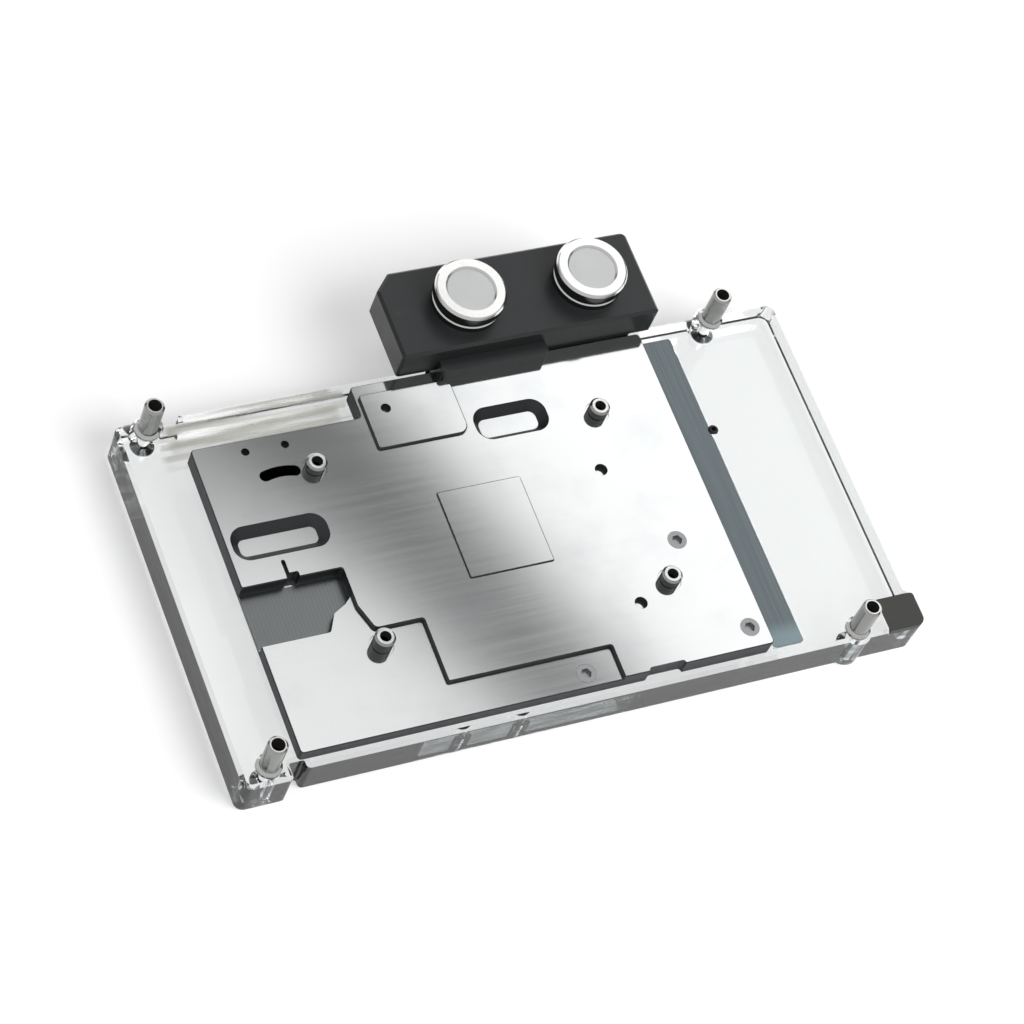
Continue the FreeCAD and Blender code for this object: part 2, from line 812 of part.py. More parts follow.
def terminal_blank():
    """Top flange with the front lip, and the lower body behind the clear top."""
    left = port_left_x - terminal_left
    right = port_right_x + terminal_right
    top = slab([
        (left, terminal_front, 0.8),
        (right, terminal_front, 0.8),
        (right, terminal_back, 1.5),
        (left + terminal_corner, terminal_back, 1.0),
        (left, terminal_back - terminal_corner, 1.0),
    ], plateau_top, terminal_top)
    top = chamfered(top, terminal_top, terminal_edge)
    leg_left = port_left_x - leg_side
    leg_right = port_right_x + leg_side
    leg = block(leg_left, leg_right, clear_width, terminal_back - leg_back_inset,
                leg_floor, plateau_top, 0)
    foot = block(leg_left, leg_right, terminal_front, clear_width, clear_thick, plateau_top)
    lip = block(port_left_x - lip_left, port_left_x + lip_right, terminal_front - lip_depth,
                terminal_front + through, plateau_top, plateau_top + lip_high, 0.6)
    return fused([top, leg, foot, lip])


def port_cut(x):
    """G1/4 thread at each end, the tapping drill between, as one cutter."""
    radius = port_thread / 2 + port_gap
    drill = port_drill / 2
    return placed(turned([
        (0, leg_floor - through),
        (radius + port_chamfer + through, leg_floor - through),
        (radius, leg_floor + port_chamfer),
        (radius, leg_floor + port_thread_depth),
        (drill, leg_floor + port_thread_depth),
        (drill, terminal_top - port_thread_depth),
        (radius, terminal_top - port_thread_depth),
        (radius, terminal_top + through),
        (0, terminal_top + through),
    ]), x, port_y, 0)


def terminal():
    cuts = [port_cut(x) for x in port_xs]
    cuts += [rod_back(x, gallery_height, gallery_width, clear_width - through, port_y) for x in port_xs]
    groove_outer = face_seal_ring + face_seal_cord + 2 * seat_gap
    groove_inner = face_seal_ring - face_seal_cord - 2 * seat_gap
    groove_front = clear_width - through
    groove_back = clear_width + face_seal_cord
    for x in port_xs:
        outer = rod_back(x, gallery_height, groove_outer, groove_front, groove_back)
        inner = rod_back(x, gallery_height, groove_inner, groove_front, groove_back)
        cuts.append(outer.cut(inner))
    leg_back = terminal_back - leg_back_inset
    seat = cap_screw(terminal_screw_thread, terminal_screw_head, terminal_screw_head_high,
                     leg_back - clear_width, thread_gap, through + leg_back_inset)
    cuts += [placed(seat, x, leg_back - head_sunk, gallery_height, BACK) for x in terminal_screw_xs()]
    return terminal_blank().cut(cuts)


def terminal_seals():
    seal = ring(face_seal_ring, face_seal_cord)
    seal_y = clear_width + face_seal_cord / 2
    return Part.makeCompound([placed(seal, x, seal_y, gallery_height, BACK) for x in port_xs])


def terminal_screws():
    leg_back = terminal_back - leg_back_inset
    length = leg_back - head_sunk - terminal_screw_head_high - clear_width + terminal_screw_bite
    screw = cap_screw(terminal_screw_thread, terminal_screw_head, terminal_screw_head_high, length)
    screw = screw.cut(socket(terminal_screw_head, terminal_screw_head_high / 2))
    return Part.makeCompound([placed(screw, x, leg_back - head_sunk, gallery_height, BACK)
                              for x in terminal_screw_xs()])


def port_plug(x):
    """Turned plug: shank, flange with its seal groove, neck, and head with a dished centre."""
    shank = port_thread / 2
    relief = (plug_seal_ring - plug_seal_cord) / 2
    groove = (plug_seal_ring + plug_seal_cord) / 2 + seat_gap
    flange = plug_flange / 2
    neck_low = plug_flange_high
    head_low = neck_low + plug_neck_high
    head_top = head_low + plug_head_high
    head = plug_head / 2
    dish = plug_dish / 2
    solid = turned([
        (0, -plug_shank),
        (shank - plug_edge, -plug_shank),
        (shank, -plug_shank + plug_edge),
        (shank, -plug_edge),
        (relief, -plug_edge),
        (relief, plug_seal_cord),
        (groove, plug_seal_cord),
        (groove, 0),
        (flange, 0),
        (flange, neck_low - plug_edge / 2),
        (flange - plug_edge / 2, neck_low),
        (plug_neck / 2, neck_low),
        (plug_neck / 2, head_low),
        (head - plug_edge / 2, head_low),
        (head, head_low + plug_edge / 2),
        (head, head_top - plug_edge),
        (head - plug_edge / 2, head_top - plug_edge * 0.3),
        (head - plug_edge, head_top),
        (dish + plug_dish_depth, head_top),
        (dish, head_top - plug_dish_depth),
        (0, head_top - plug_dish_depth),
    ])
    return placed(solid, x, port_y, terminal_top)


def plug_seal(x):
    return placed(ring(plug_seal_ring, plug_seal_cord), x, port_y, terminal_top + plug_seal_cord / 2)


# Posts, screws and light strip

def standoff(x, y):
    radius = post_width / 2
    hole = post_thread / 2 + thread_gap
    body = turned([
        (hole, 0),
        (post_foot / 2, 0),
        (post_foot / 2, post_foot_high - post_chamfer / 2),
        (radius, post_foot_high + post_chamfer / 2),
        (radius, post_high - post_chamfer),
        (radius - post_chamfer, post_high),
        (hole, post_high),
        (hole, post_high - post_top_depth),
        (0, post_high - post_top_depth),
        (0, post_low_depth),
        (hole, post_low_depth),
    ])
    return placed(body, x, y, clear_thick)


def die_post(x, y, seat):
    """Post beside the die, with a stud that screws into the cold plate."""
    radius = die_post_width / 2
    stud = die_stud / 2 - thread_gap
    hole = die_post_thread / 2 + thread_gap
    high = plateau_top + die_post_rise - seat
    body = turned([
        (0, -die_stud_length),
        (stud, -die_stud_length),
        (stud, 0),
        (radius, 0),
        (radius, high - post_chamfer),
        (radius - post_chamfer, high),
        (hole, high),
        (hole, high - die_post_hole_depth),
        (0, high - die_post_hole_depth),
    ])
    return placed(body, x, y, seat)


def standoff_screws():
    length = clear_thick - head_sunk + post_low_depth - 2 * thread_gap
    screw = flat_screw(post_thread, post_screw_head, length)
    screw = screw.cut(socket(post_screw_head, 1.2))
    return Part.makeCompound([placed(screw, x, y, head_sunk, DOWN) for x, y in posts.values()])


def plate_screws():
    screw = flat_screw(plate_screw_thread, plate_screw_head, plate_screw_length)
    screw = screw.cut(socket(plate_screw_head, 1.0))
    return Part.makeCompound([placed(screw, x, y, top) for x, y, top in plate_screw_spots()])


def clear_screws():
    length = clear_thick - head_sunk - clear_screw_head_high + clear_screw_bite
    screw = cap_screw(clear_screw_thread, clear_screw_head, clear_screw_head_high, length)
    screw = screw.cut(socket(clear_screw_head, clear_screw_head_high / 2))
    return Part.makeCompound([placed(screw, x, y, head_sunk, DOWN) for x, y in clear_screw_spots()])


def light_cover():
    cover = block(light_left + seat_gap, light_right - seat_gap, light_front + seat_gap,
                  light_back - seat_gap, clear_thick - light_cover_thick, clear_thick, light_corner)
    return cover.cut(rod(light_right + lead_offset, lead_from_front, lead_hole,
                         0, clear_thick + through))


def light_board():
    top = clear_thick - light_cover_thick
    inset = light_ledge + seat_gap
    end = light_end_ledge + seat_gap
    return block(light_left + inset, light_right - inset, light_front + end, light_back - end,
                 top - light_board_thick, top, light_corner)


def light_leds():
    """LEDs under the board, shining down into the clear top."""
    top = clear_thick - light_cover_thick - light_board_thick
    middle = (light_left + light_right) / 2
    first = light_front + light_end_ledge + 2 * light_led
    last = light_back - light_end_ledge - 2 * light_led
    pitch = (last - first) / (light_led_count - 1)
    half = light_led / 2
    return Part.makeCompound([
        block(middle - half, middle + half, first + step * pitch - half, first + step * pitch + half,
              top - light_led_high, top)
        for step in range(light_led_count)
    ])


def lead_grommet():
    x = light_right + lead_offset
    radius = lead_hole / 2 - thread_gap
    top = clear_thick + grommet_proud
    body = turned([
        (grommet_bore / 2, top - grommet_length),
        (radius, top - grommet_length),
        (radius, top - 0.3),
        (radius - 0.3, top),
        (grommet_bore / 2, top),
    ])
    return placed(body, x, lead_from_front, 0)


def corner_pad():
    right = clear_length + pad_reach
    return slab([
        (right - pad_width + seat_gap, 0, 0.5),
        (right, 0, clear_corner),
        (right, pad_depth, 0.8),
        (right - pad_width + seat_gap, pad_depth, 0.5),
    ], clear_thick - pad_thick, clear_thick)


# Every piece, by the name of its file

pieces = {
    "clear_top": clear_top(),
    "cold_plate": cold_plate(),
    "jet_plate": jet_plate(),
    "plate_seal": plate_seal(),
    "terminal": terminal(),
    "terminal_seals": terminal_seals(),
    "terminal_screws": terminal_screws(),
    "port_plug_left": port_plug(port_left_x),
    "port_plug_right": port_plug(port_right_x),
    "plug_seal_left": plug_seal(port_left_x),
    "plug_seal_right": plug_seal(port_right_x),
    "standoff_screws": standoff_screws(),
    "plate_screws": plate_screws(),
    "clear_screws": clear_screws(),
    "light_cover": light_cover(),
    "light_board": light_board(),
    "light_leds": light_leds(),
    "lead_grommet": lead_grommet(),
    "corner_pad": corner_pad(),
}
for name, (post_x, post_y) in posts.items():
    pieces[name] = standoff(post_x, post_y)
for name, (post_x, post_y, seat) in die_posts.items():
    pieces[name] = die_post(post_x, post_y, seat)

origin = Vector((clear_length + pad_reach) / 2, (terminal_back - ear_reach) / 2, 0)
os.makedirs("parts", exist_ok=True)
for name, shape in pieces.items():
    shape.translate(-origin)
    shape.exportStep(f"parts/{name}.step")
    print(f"{name}: {len(shape.Solids)} solids, valid {shape.isValid()}, {shape.Volume:.1f} mm3")
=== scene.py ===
import bpy
import json
import math
from mathutils import Matrix, Vector


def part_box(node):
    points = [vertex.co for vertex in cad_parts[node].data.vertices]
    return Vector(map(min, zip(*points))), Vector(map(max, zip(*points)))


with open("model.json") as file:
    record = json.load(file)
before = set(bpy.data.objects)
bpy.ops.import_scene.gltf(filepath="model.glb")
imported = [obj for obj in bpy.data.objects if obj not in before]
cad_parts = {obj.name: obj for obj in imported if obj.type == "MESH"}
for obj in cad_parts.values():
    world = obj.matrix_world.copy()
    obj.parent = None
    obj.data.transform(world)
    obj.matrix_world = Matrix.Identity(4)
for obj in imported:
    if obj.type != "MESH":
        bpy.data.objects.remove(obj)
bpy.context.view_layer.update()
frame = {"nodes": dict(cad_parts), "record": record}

# Liquid cooling block for a graphics board, lying on its clear top with the cold plate up.
# All lengths are in metres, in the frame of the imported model, unless a note says mm.

mm = 0.001
nodes = frame["nodes"]
clearLow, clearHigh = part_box("clear_top")


# Shader sockets as values

class Flow:
    def __init__(self, finish, socket):
        self.finish = finish
        self.socket = socket

    def work(self, operation, *others):
        values = dict(enumerate((self,) + others))
        return self.finish.node("ShaderNodeMath", {"operation": operation}, values)

    def turned(self, operation, other):
        return self.finish.node("ShaderNodeMath", {"operation": operation}, {0: other, 1: self})

    def __add__(self, other):
        return self.work("ADD", other)

    def __radd__(self, other):
        return self.work("ADD", other)

    def __sub__(self, other):
        return self.work("SUBTRACT", other)

    def __rsub__(self, other):
        return self.turned("SUBTRACT", other)

    def __mul__(self, other):
        return self.work("MULTIPLY", other)

    def __rmul__(self, other):
        return self.work("MULTIPLY", other)

    def __truediv__(self, other):
        return self.work("DIVIDE", other)

    def __rtruediv__(self, other):
        return self.turned("DIVIDE", other)

    def __lt__(self, other):
        return self.work("LESS_THAN", other)

    def __gt__(self, other):
        return self.work("GREATER_THAN", other)

    def smooth(self, low, high):
        settings = {"interpolation_type": "SMOOTHSTEP"}
        values = {"Value": self, "From Min": low, "From Max": high}
        return self.finish.node("ShaderNodeMapRange", settings, values)

    def between(self, low, high, soft):
        return self.smooth(low - soft, low + soft) * (1 - self.smooth(high - soft, high + soft))

    def waves(self, step):
        return (self * (math.tau / step)).work("SINE")

    def around(self, amount):    # from half of amount below zero to half of it above
        return (self - 0.5) * amount


class Finish:
    mixFactor, mixFirst, mixSecond, mixResult = 0, 6, 7, 2    # colour sockets of the Mix node

    def __init__(self, owner):
        owner.use_nodes = True
        self.tree = owner.node_tree
        self.tree.nodes.clear()

    def node(self, kind, settings=None, inputs=None, output=0):
        made = self.tree.nodes.new(kind)
        for name, value in (settings or {}).items():
            setattr(made, name, value)
        for name, value in (inputs or {}).items():
            if isinstance(value, Flow):
                self.tree.links.new(value.socket, made.inputs[name])
            else:
                made.inputs[name].default_value = value
        return Flow(self, made.outputs[output]) if len(made.outputs) else None

    def place(self):
        return self.node("ShaderNodeTexCoord", output="Object")

    def axes(self, vector):
        return [self.node("ShaderNodeSeparateXYZ", None, {0: vector}, side) for side in range(3)]

    def upright(self):    # 1 on a face that looks up, -1 on one that looks down, 0 on a wall
        return self.axes(self.node("ShaderNodeTexCoord", output="Normal"))[2]

    def level(self, low, high):    # 1 on level faces, 0 on walls
        return self.upright().work("ABSOLUTE").smooth(low, high)

    def fromCorner(self, low):    # mm from a corner of the piece
        return [(way - start) / mm for way, start in zip(self.axes(self.place()), low)]

    def fromAxis(self, width):    # mm from the axis of a turned piece, and the share of its height
        across, back, height = self.axes(self.node("ShaderNodeTexCoord", output="Generated"))
        sideways = (across - 0.5) * width
        forwards = (back - 0.5) * width
        return (sideways * sideways + forwards * forwards).work("SQRT"), height

    def noise(self, vector, scale, detail=3, rough=0.55):
        inputs = {"Vector": vector, "Scale": scale, "Detail": detail, "Roughness": rough}
        return self.node("ShaderNodeTexNoise", None, inputs, "Fac")

    def stretchedNoise(self, vector, scales, detail=3):    # with a scale for each axis
        inputs = {0: vector, 1: scales}
        stretched = self.node("ShaderNodeVectorMath", {"operation": "MULTIPLY"}, inputs)
        return self.noise(stretched, 1.0, detail)

    def blend(self, factor, first, second):
        inputs = {self.mixFactor: factor, self.mixFirst: first, self.mixSecond: second}
        return self.node("ShaderNodeMix", {"data_type": "RGBA"}, inputs, self.mixResult)

    def bump(self, height, strength, distance, normal=None):
        inputs = {"Height": height, "Strength": strength, "Distance": distance}
        if normal:
            inputs["Normal"] = normal
        return self.node("ShaderNodeBump", None, inputs)

    def corners(self, reach):    # 0 in the open, more where two walls meet; the mask for painted shade
        settings = {"samples": 8, "only_local": True}
        return 1 - self.node("ShaderNodeAmbientOcclusion", settings, {"Distance": reach}, "AO")

    def principled(self, **inputs):
        named = {name.replace("_", " "): value for name, value in inputs.items()}
        return self.node("ShaderNodeBsdfPrincipled", None, named)

    def output(self, surface, kind="ShaderNodeOutputMaterial"):
        self.node(kind, None, {"Surface": surface})


def newMaterial(name):
    material = bpy.data.materials.new(name)
    return material, Finish(material)


def linearLevel(level):    # the sRGB curve, from a colour picker's 0 to 255
    return ((level / 255 + 0.055) / 1.055) ** 2.4 if level > 10 else level / 3295


def colour(red, green, blue):
    return (linearLevel(red), linearLevel(green), linearLevel(blue), 1.0)


def dress(nodeName, material):
    node = nodes[nodeName]
    if not node.material_slots:
        node.data.materials.append(material)
    for held in node.material_slots:
        held.material = material


# Camera

cameraView = {
    "lens": 123.24,
    "sensor": 36.0,
    "nearest": 0.01,
    "distance": 0.8275,
    "heading": 44.11,                  # degrees
    "elevation": 55.81,
    "roll": 27.05,
    "aim": (86.0 * mm, 53.53 * mm),    # from the clear top's front left corner, on its upper face
}


def makeCamera():
    heading = math.radians(cameraView["heading"])
    elevation = math.radians(cameraView["elevation"])
    roll = math.radians(cameraView["roll"])
    flat = math.cos(elevation)
    forward = Vector((math.sin(heading) * flat, math.cos(heading) * flat, -math.sin(elevation)))
    level = forward.cross(Vector((0, 0, 1))).normalized()
    right = level * math.cos(roll) + level.cross(forward) * math.sin(roll)
    up = right.cross(forward)
    aim = Vector((clearLow.x + cameraView["aim"][0], clearLow.y + cameraView["aim"][1], clearHigh.z))
    turn = Matrix((right, up, -forward)).transposed()
    data = bpy.data.cameras.new("camera")
    data.lens = cameraView["lens"]
    data.sensor_width = cameraView["sensor"]
    data.clip_start = cameraView["nearest"]
    camera = bpy.data.objects.new("camera", data)
    camera.matrix_world = Matrix.Translation(aim - forward * cameraView["distance"]) @ turn.to_4x4()
    bpy.context.scene.collection.objects.link(camera)
    bpy.context.scene.camera = camera


makeCamera()
print("camera set")


# Floor, lamps and surroundings

studio = {
    "floorSize": 6.0,
    "floorGap": 0.05 * mm,       # between floor and clear top
    "floorColour": (0.94, 0.94, 0.94, 1.0),
    "floorGlow": 0.42,           # share of plain white in what the camera and reflections see
    "floorGlowThrough": 0.72,    # the same, seen through the clear top
}


def makeFloor():
    half = studio["floorSize"] / 2
    corners = [(-half, -half, 0), (half, -half, 0), (half, half, 0), (-half, half, 0)]
    mesh = bpy.data.meshes.new("floor")
    mesh.from_pydata(corners, [], [(0, 1, 2, 3)])
    floor = bpy.data.objects.new("floor", mesh)
    bpy.context.scene.collection.objects.link(floor)
    floor.location.z = clearLow.z - studio["floorGap"]
    material, finish = newMaterial("studio_floor")
    camera, glossy, through = [finish.node("ShaderNodeLightPath", output=ray)
                               for ray in ("Is Camera Ray", "Is Glossy Ray", "Is Transmission Ray")]
    seen = camera.work("MAXIMUM", glossy) * studio["floorGlow"]
    share = seen.work("MAXIMUM", through * studio["floorGlowThrough"])
    paper = finish.node("ShaderNodeBsdfDiffuse", None, {"Color": studio["floorColour"]})
    glow = finish.node("ShaderNodeEmission", None, {"Color": (1, 1, 1, 1), "Strength": 1.0})
    finish.output(finish.node("ShaderNodeMixShader", None, {0: share, 1: paper, 2: glow}))
    mesh.materials.append(material)


lamps = {
    "keyFront": {"from": (0.9, -1.3, 1.5), "size": (1.8, 1.8), "power": 64.0},
}


def makeLamps():
    middle = (clearLow + clearHigh) / 2
    for name, lamp in lamps.items():
        data = bpy.data.lights.new(name, "AREA")
        data.shape = "RECTANGLE"
        data.size, data.size_y = lamp["size"]
        data.energy = lamp["power"]
        source = bpy.data.objects.new(name, data)
        source.visible_glossy = False
        source.location = middle + Vector(lamp["from"])
        source.rotation_euler = (-Vector(lamp["from"])).to_track_quat("-Z", "Y").to_euler()
        bpy.context.scene.collection.objects.link(source)


# Two white boxes over the block, with a dark gap between them, that the nickel mirrors. Their edges
# are given where a ray crosses a level plane at height 1: across to the right, back to the rear.
sky = {
    "horizon": (0.05, 0.25),       # the boxes fade in over these heights
    "flattest": 0.02,
    "gap": 0.06,
    "low": 0.05,
    "farEnd": (1.4, 2.2),
    "nearEnd": (0.0, 0.3),
    "rightEdge": (0.636, 0.662),
    "rightSlant": 0.375,
    "rightLevel": 1.22,
    "leftEdge": (0.648, 0.678),
    "leftSlant": 0.525,
    "leftEnd": (0.0, 0.25),
    "leftFront": 0.95,
    "leftBack": 0.42,
    "leftFade": (0.46, 0.53),
    "beside": 0.5,
    "besideEdge": (-0.35, -0.05),
}


def makeSky():
    world = bpy.data.worlds.new("studio_sky")
    bpy.context.scene.world = world
    finish = Finish(world)
    x, y, z = finish.axes(finish.node("ShaderNodeTexCoord", output="Generated"))
    height = z.work("MAXIMUM", sky["flattest"])
    across = x / height
    back = y / height
    above = z.smooth(*sky["horizon"])
    near = back.smooth(*sky["nearEnd"])
    rightBox = (across + back * sky["rightSlant"]).smooth(*sky["rightEdge"])
    rightBox = rightBox * (1 - across.smooth(*sky["farEnd"])) * near * sky["rightLevel"]
    leftBox = 1 - (across + back * sky["leftSlant"]).smooth(*sky["leftEdge"])
    leftFade = back.smooth(*sky["leftFade"]) * (sky["leftFront"] - sky["leftBack"])
    leftBox = leftBox * across.smooth(*sky["leftEnd"]) * (sky["leftFront"] - leftFade) * near
    leftOf = 1 - across.smooth(*sky["besideEdge"])
    inFront = 1 - back.smooth(*sky["besideEdge"])
    beside = leftOf.work("MAXIMUM", inFront) * sky["beside"]
    level = sky["low"] + above * (sky["gap"] - sky["low"] + rightBox + leftBox + beside)
    light = finish.node("ShaderNodeBackground", None, {"Color": (1, 1, 1, 1), "Strength": level})
    finish.output(light, "ShaderNodeOutputWorld")


makeFloor()
makeLamps()
makeSky()
bpy.context.scene.view_settings.view_transform = "Standard"
print("floor and lamps set")


# Cold plate: nickel plated copper, lapped on top, with milled walls. The walls, the corners and the arch
# slot are darkened as painted shade, and the pocket partly so.

coldLook = {
    "colour": colour(231, 233, 233),
    "cloudy": colour(222, 224, 225),
    # painted shade: the darker tone the walls are given
    "edge": colour(86, 89, 91),
    # the pocket's tone: partly its milled finish, partly painted shade in the recess
    "milled": colour(132, 135, 135),
    # painted shade: the near black tone inside the arch slot
    "archShade": colour(34, 35, 36),
    # painted shade where walls meet
    "corner": colour(92, 95, 97),
    "roughness": 0.085,
    "edgeRoughness": 0.55,
    "milledRoughness": 0.3,
    "unevenness": 0.02,
    "smudges": 60,
    "cloudiness": (0.45, 0.8),
    "lapping": (25, 1300, 25),
    "levelFace": (0.72, 0.96),
    "millStep": 0.9,                                    # mm between the cutter's marks
    "millRelief": (0.3, 0.01 * mm),                     # a relief is a bump's strength and distance
    "pocket": ((-1.0, 24.6), (27.8, 41.8), 1.6),        # mm: left to right, front to back, top
    "arch": ((13.4, 24.2), (67.4, 71.4), 4.5),          # the same
    "zoneEdge": 0.2,                                    # mm
    "zoneTop": 0.1,                                     # mm
    "cornerShadeReach": 1.6 * mm,
    "cornerShadeFade": (0.15, 0.6),
    "cornerShadeShare": 0.75,
}


def coldFinish():
    look = coldLook
    material, finish = newMaterial("plated_nickel")
    place = finish.place()
    left, front, height = finish.fromCorner(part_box("cold_plate")[0])

    def zone(spread, depth, top):
        low = 1 - height.smooth(top, top + look["zoneTop"])
        return left.between(*spread, look["zoneEdge"]) * front.between(*depth, look["zoneEdge"]) * low

    wall = 1 - finish.level(*look["levelFace"])
    smudge = finish.noise(place, look["smudges"], detail=4)
    lapped = finish.stretchedNoise(place, look["lapping"], detail=2)
    pocket = zone(*look["pocket"])
    arch = zone(*look["arch"])
    # painted shade in corners, from an occlusion mask
    corner = finish.corners(look["cornerShadeReach"]).smooth(*look["cornerShadeFade"]) * look["cornerShadeShare"]
    tone = finish.blend(smudge.smooth(*look["cloudiness"]), look["colour"], look["cloudy"])
    # the pocket is darker, partly for its milled finish and partly as painted shade in the recess
    tone = finish.blend(pocket, tone, look["milled"])
    # painted shade: the walls get the darker edge tone
    tone = finish.blend(wall, tone, look["edge"])
    tone = finish.blend(corner, tone, look["corner"])
    # painted shade: the arch slot is filled in near black
    tone = finish.blend(arch, tone, look["archShade"])
    roughness = look["roughness"] + smudge.around(look["unevenness"]) + lapped.around(look["unevenness"])
    roughness = roughness + pocket * (look["milledRoughness"] - look["roughness"])
    roughness = roughness + wall * (1 - pocket) * (look["edgeRoughness"] - look["roughness"])
    relief = finish.bump(left.waves(look["millStep"]) * pocket, *look["millRelief"])
    finish.output(finish.principled(Base_Color=tone, Metallic=1.0, Roughness=roughness, Normal=relief))
    return material


# Turned posts, with a thread in the hole in their tops. Their walls and the insides of their holes are
# darkened as painted shade.

turnedLook = {
    "colour": colour(230, 230, 228),
    # painted shade: the dark tone inside the holes
    "inside": colour(58, 58, 57),
    "roughness": 0.16,
    "unevenness": 0.1,
    "wear": 300,
    "levelFace": (0.5, 0.9),
    "holeEdge": (0.02, 0.12),          # mm outside the hole's radius
    "ringStep": 0.22,                  # mm between turning marks
    "ringRelief": (0.2, 0.006 * mm),
    "pitch": 0.5,                      # mm, thread
    "threadRelief": (1.0, 0.2 * mm),
}
# The hole's radius is in mm. Each post's side tone is painted shade on its walls.
cornerPostLook = {"node": "standoff_back_left", "hole": 1.55, "side": colour(140, 141, 139)}
diePostLook = {"node": "die_post_back_left", "hole": 1.3, "side": colour(84, 85, 84)}


def turnedFinish(name, post):
    look = turnedLook
    material, finish = newMaterial(name)
    low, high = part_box(post["node"])
    radius, height = finish.fromAxis((high.x - low.x) / mm)
    level = finish.level(*look["levelFace"])
    near, far = look["holeEdge"]
    inside = 1 - radius.smooth(post["hole"] + near, post["hole"] + far)
    rings = radius.waves(look["ringStep"]) * level
    thread = height.waves(look["pitch"] * mm / (high.z - low.z)) * inside * (1 - level)
    wear = finish.noise(finish.place(), look["wear"])
    # painted shade on the walls
    tone = finish.blend(1 - level, look["colour"], post["side"])
    # painted shade inside the hole
    tone = finish.blend(inside, tone, look["inside"])
    roughness = look["roughness"] + wear.around(look["unevenness"])
    relief = finish.bump(thread, *look["threadRelief"], finish.bump(rings, *look["ringRelief"]))
    finish.output(finish.principled(Base_Color=tone, Metallic=1.0, Roughness=roughness, Normal=relief))
    return material


# Port plugs: bright rim, matt dished centre; the head's side and the neck are darkened as painted shade and
# painted reflection

plugLook = {
    "rim": colour(240, 240, 238),
    "centre": colour(214, 216, 216),
    # painted shade and reflection on the head's side
    "side": colour(118, 119, 119),
    # painted shade and reflection on the neck, below the head
    "neck": colour(60, 61, 61),
    "dish": (5.8, 6.0),                # mm from the axis, where the centre ends
    "neckZone": (0.694, 0.761),        # share of the plug's height
    "neckEdge": 0.01,
    "levelFace": (0.15, 0.6),
    "roughness": 0.14,
    "centreRoughness": 0.24,           # more in the centre
    "unevenness": 0.08,
    "wear": 260,
    "wearRelief": (0.05, 0.02 * mm),
    "ringStep": 0.3,                   # mm
    "ringRelief": (0.25, 0.01 * mm),
    "rimRings": 0.3,                   # strength on the rim, and 1 more in the centre
}


def plugFinish():
    look = plugLook
    material, finish = newMaterial("plug_nickel")
    low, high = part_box("port_plug_left")
    radius, height = finish.fromAxis((high.x - low.x) / mm)
    wear = finish.noise(finish.place(), look["wear"])
    centre = 1 - radius.smooth(*look["dish"])
    neck = height.between(*look["neckZone"], look["neckEdge"])
    wall = 1 - finish.level(*look["levelFace"])
    rings = radius.waves(look["ringStep"]) * (look["rimRings"] + centre)
    tone = finish.blend(centre, look["rim"], look["centre"])
    # painted shade and reflection on the head's side
    tone = finish.blend(wall * (1 - centre), tone, look["side"])
    # painted shade and reflection on the neck
    tone = finish.blend(neck, tone, look["neck"])
    roughness = look["roughness"] + centre * look["centreRoughness"] + wear.around(look["unevenness"])
    relief = finish.bump(rings, *look["ringRelief"], finish.bump(wear, *look["wearRelief"]))
    finish.output(finish.principled(Base_Color=tone, Metallic=1.0, Roughness=roughness, Normal=relief))
    return material


# Clear top: polished acrylic with milled sides, and cutter streaks at the back left. The side faces are
# tinted darker as painted shade.

clearLook = {
    "colour": colour(250, 252, 252),
    # painted shade: the darker tint of the side faces
    "side": colour(132, 138, 140),
    "streak": colour(184, 183, 174),
    "roughness": 0.03,
    "hazeRoughness": 0.05,
    "sideRoughness": 0.05,
    "streakRoughness": 0.32,
    "ior": 1.49,
    "levelFace": (0.3, 0.8),
    "haze": 90,
    "haziness": (0.45, 0.8),
    "scratches": (900, 60, 60),
    "scratchRelief": (0.02, 0.02 * mm),
    "cutter": (120, 120, 700),
    "cutterDepth": (0.2, 0.6),
    "cutterRelief": (0.15, 0.02 * mm),
    "passes": (26, 640, 26),
    "passDepth": (0.35, 0.62),
    "streakZone": ((11.5, 57.0, 1.2), (85.5, 94.5, 0.8)),    # mm from the corner, and soft edges
}


def clearFinish():
    look = clearLook
    material, finish = newMaterial("clear_acrylic")
    place = finish.place()
    left, front = finish.fromCorner(clearLow)[:2]
    side = 1 - finish.level(*look["levelFace"])
    haze = finish.noise(place, look["haze"]).smooth(*look["haziness"])
    scratches = finish.stretchedNoise(place, look["scratches"], detail=2)
    passes = finish.stretchedNoise(place, look["passes"]).smooth(*look["passDepth"])
    cutter = finish.stretchedNoise(place, look["cutter"])
    spread, depth = look["streakZone"]
    streaks = left.between(*spread) * front.between(*depth) * passes
    roughness = look["roughness"] + haze * look["hazeRoughness"]
    roughness = roughness + side * cutter * look["sideRoughness"] + streaks * look["streakRoughness"]
    # painted shade: side faces tinted darker, patterned by the cutter marks
    tone = finish.blend(side * cutter.smooth(*look["cutterDepth"]), look["colour"], look["side"])
    tone = finish.blend(streaks, tone, look["streak"])
    scratched = finish.bump(scratches, *look["scratchRelief"])
    relief = finish.bump(cutter * side, *look["cutterRelief"], scratched)
    finish.output(finish.principled(Base_Color=tone, Roughness=roughness, IOR=look["ior"],
                                    Transmission_Weight=1.0, Normal=relief))
    return material


# Terminal: black acetal, its level faces lighter and its walls darker as painted light and shade

acetalLook = {
    # top and side: lit and shaded tones of the one acetal, painted light and shade
    "top": colour(32, 34, 35),
    "side": colour(25, 28, 27),
    "scuff": colour(52, 54, 55),
    "roughness": 0.36,
    "wearRoughness": 0.2,
    "millRoughness": 0.08,
    "ior": 1.48,
    "levelFace": (0.5, 0.9),
    "wear": 110,
    "scuffing": (0.58, 0.8),
    "scuffShare": 0.5,
    "milled": (2400, 55, 300),
    "millRelief": (0.2, 0.01 * mm),
}


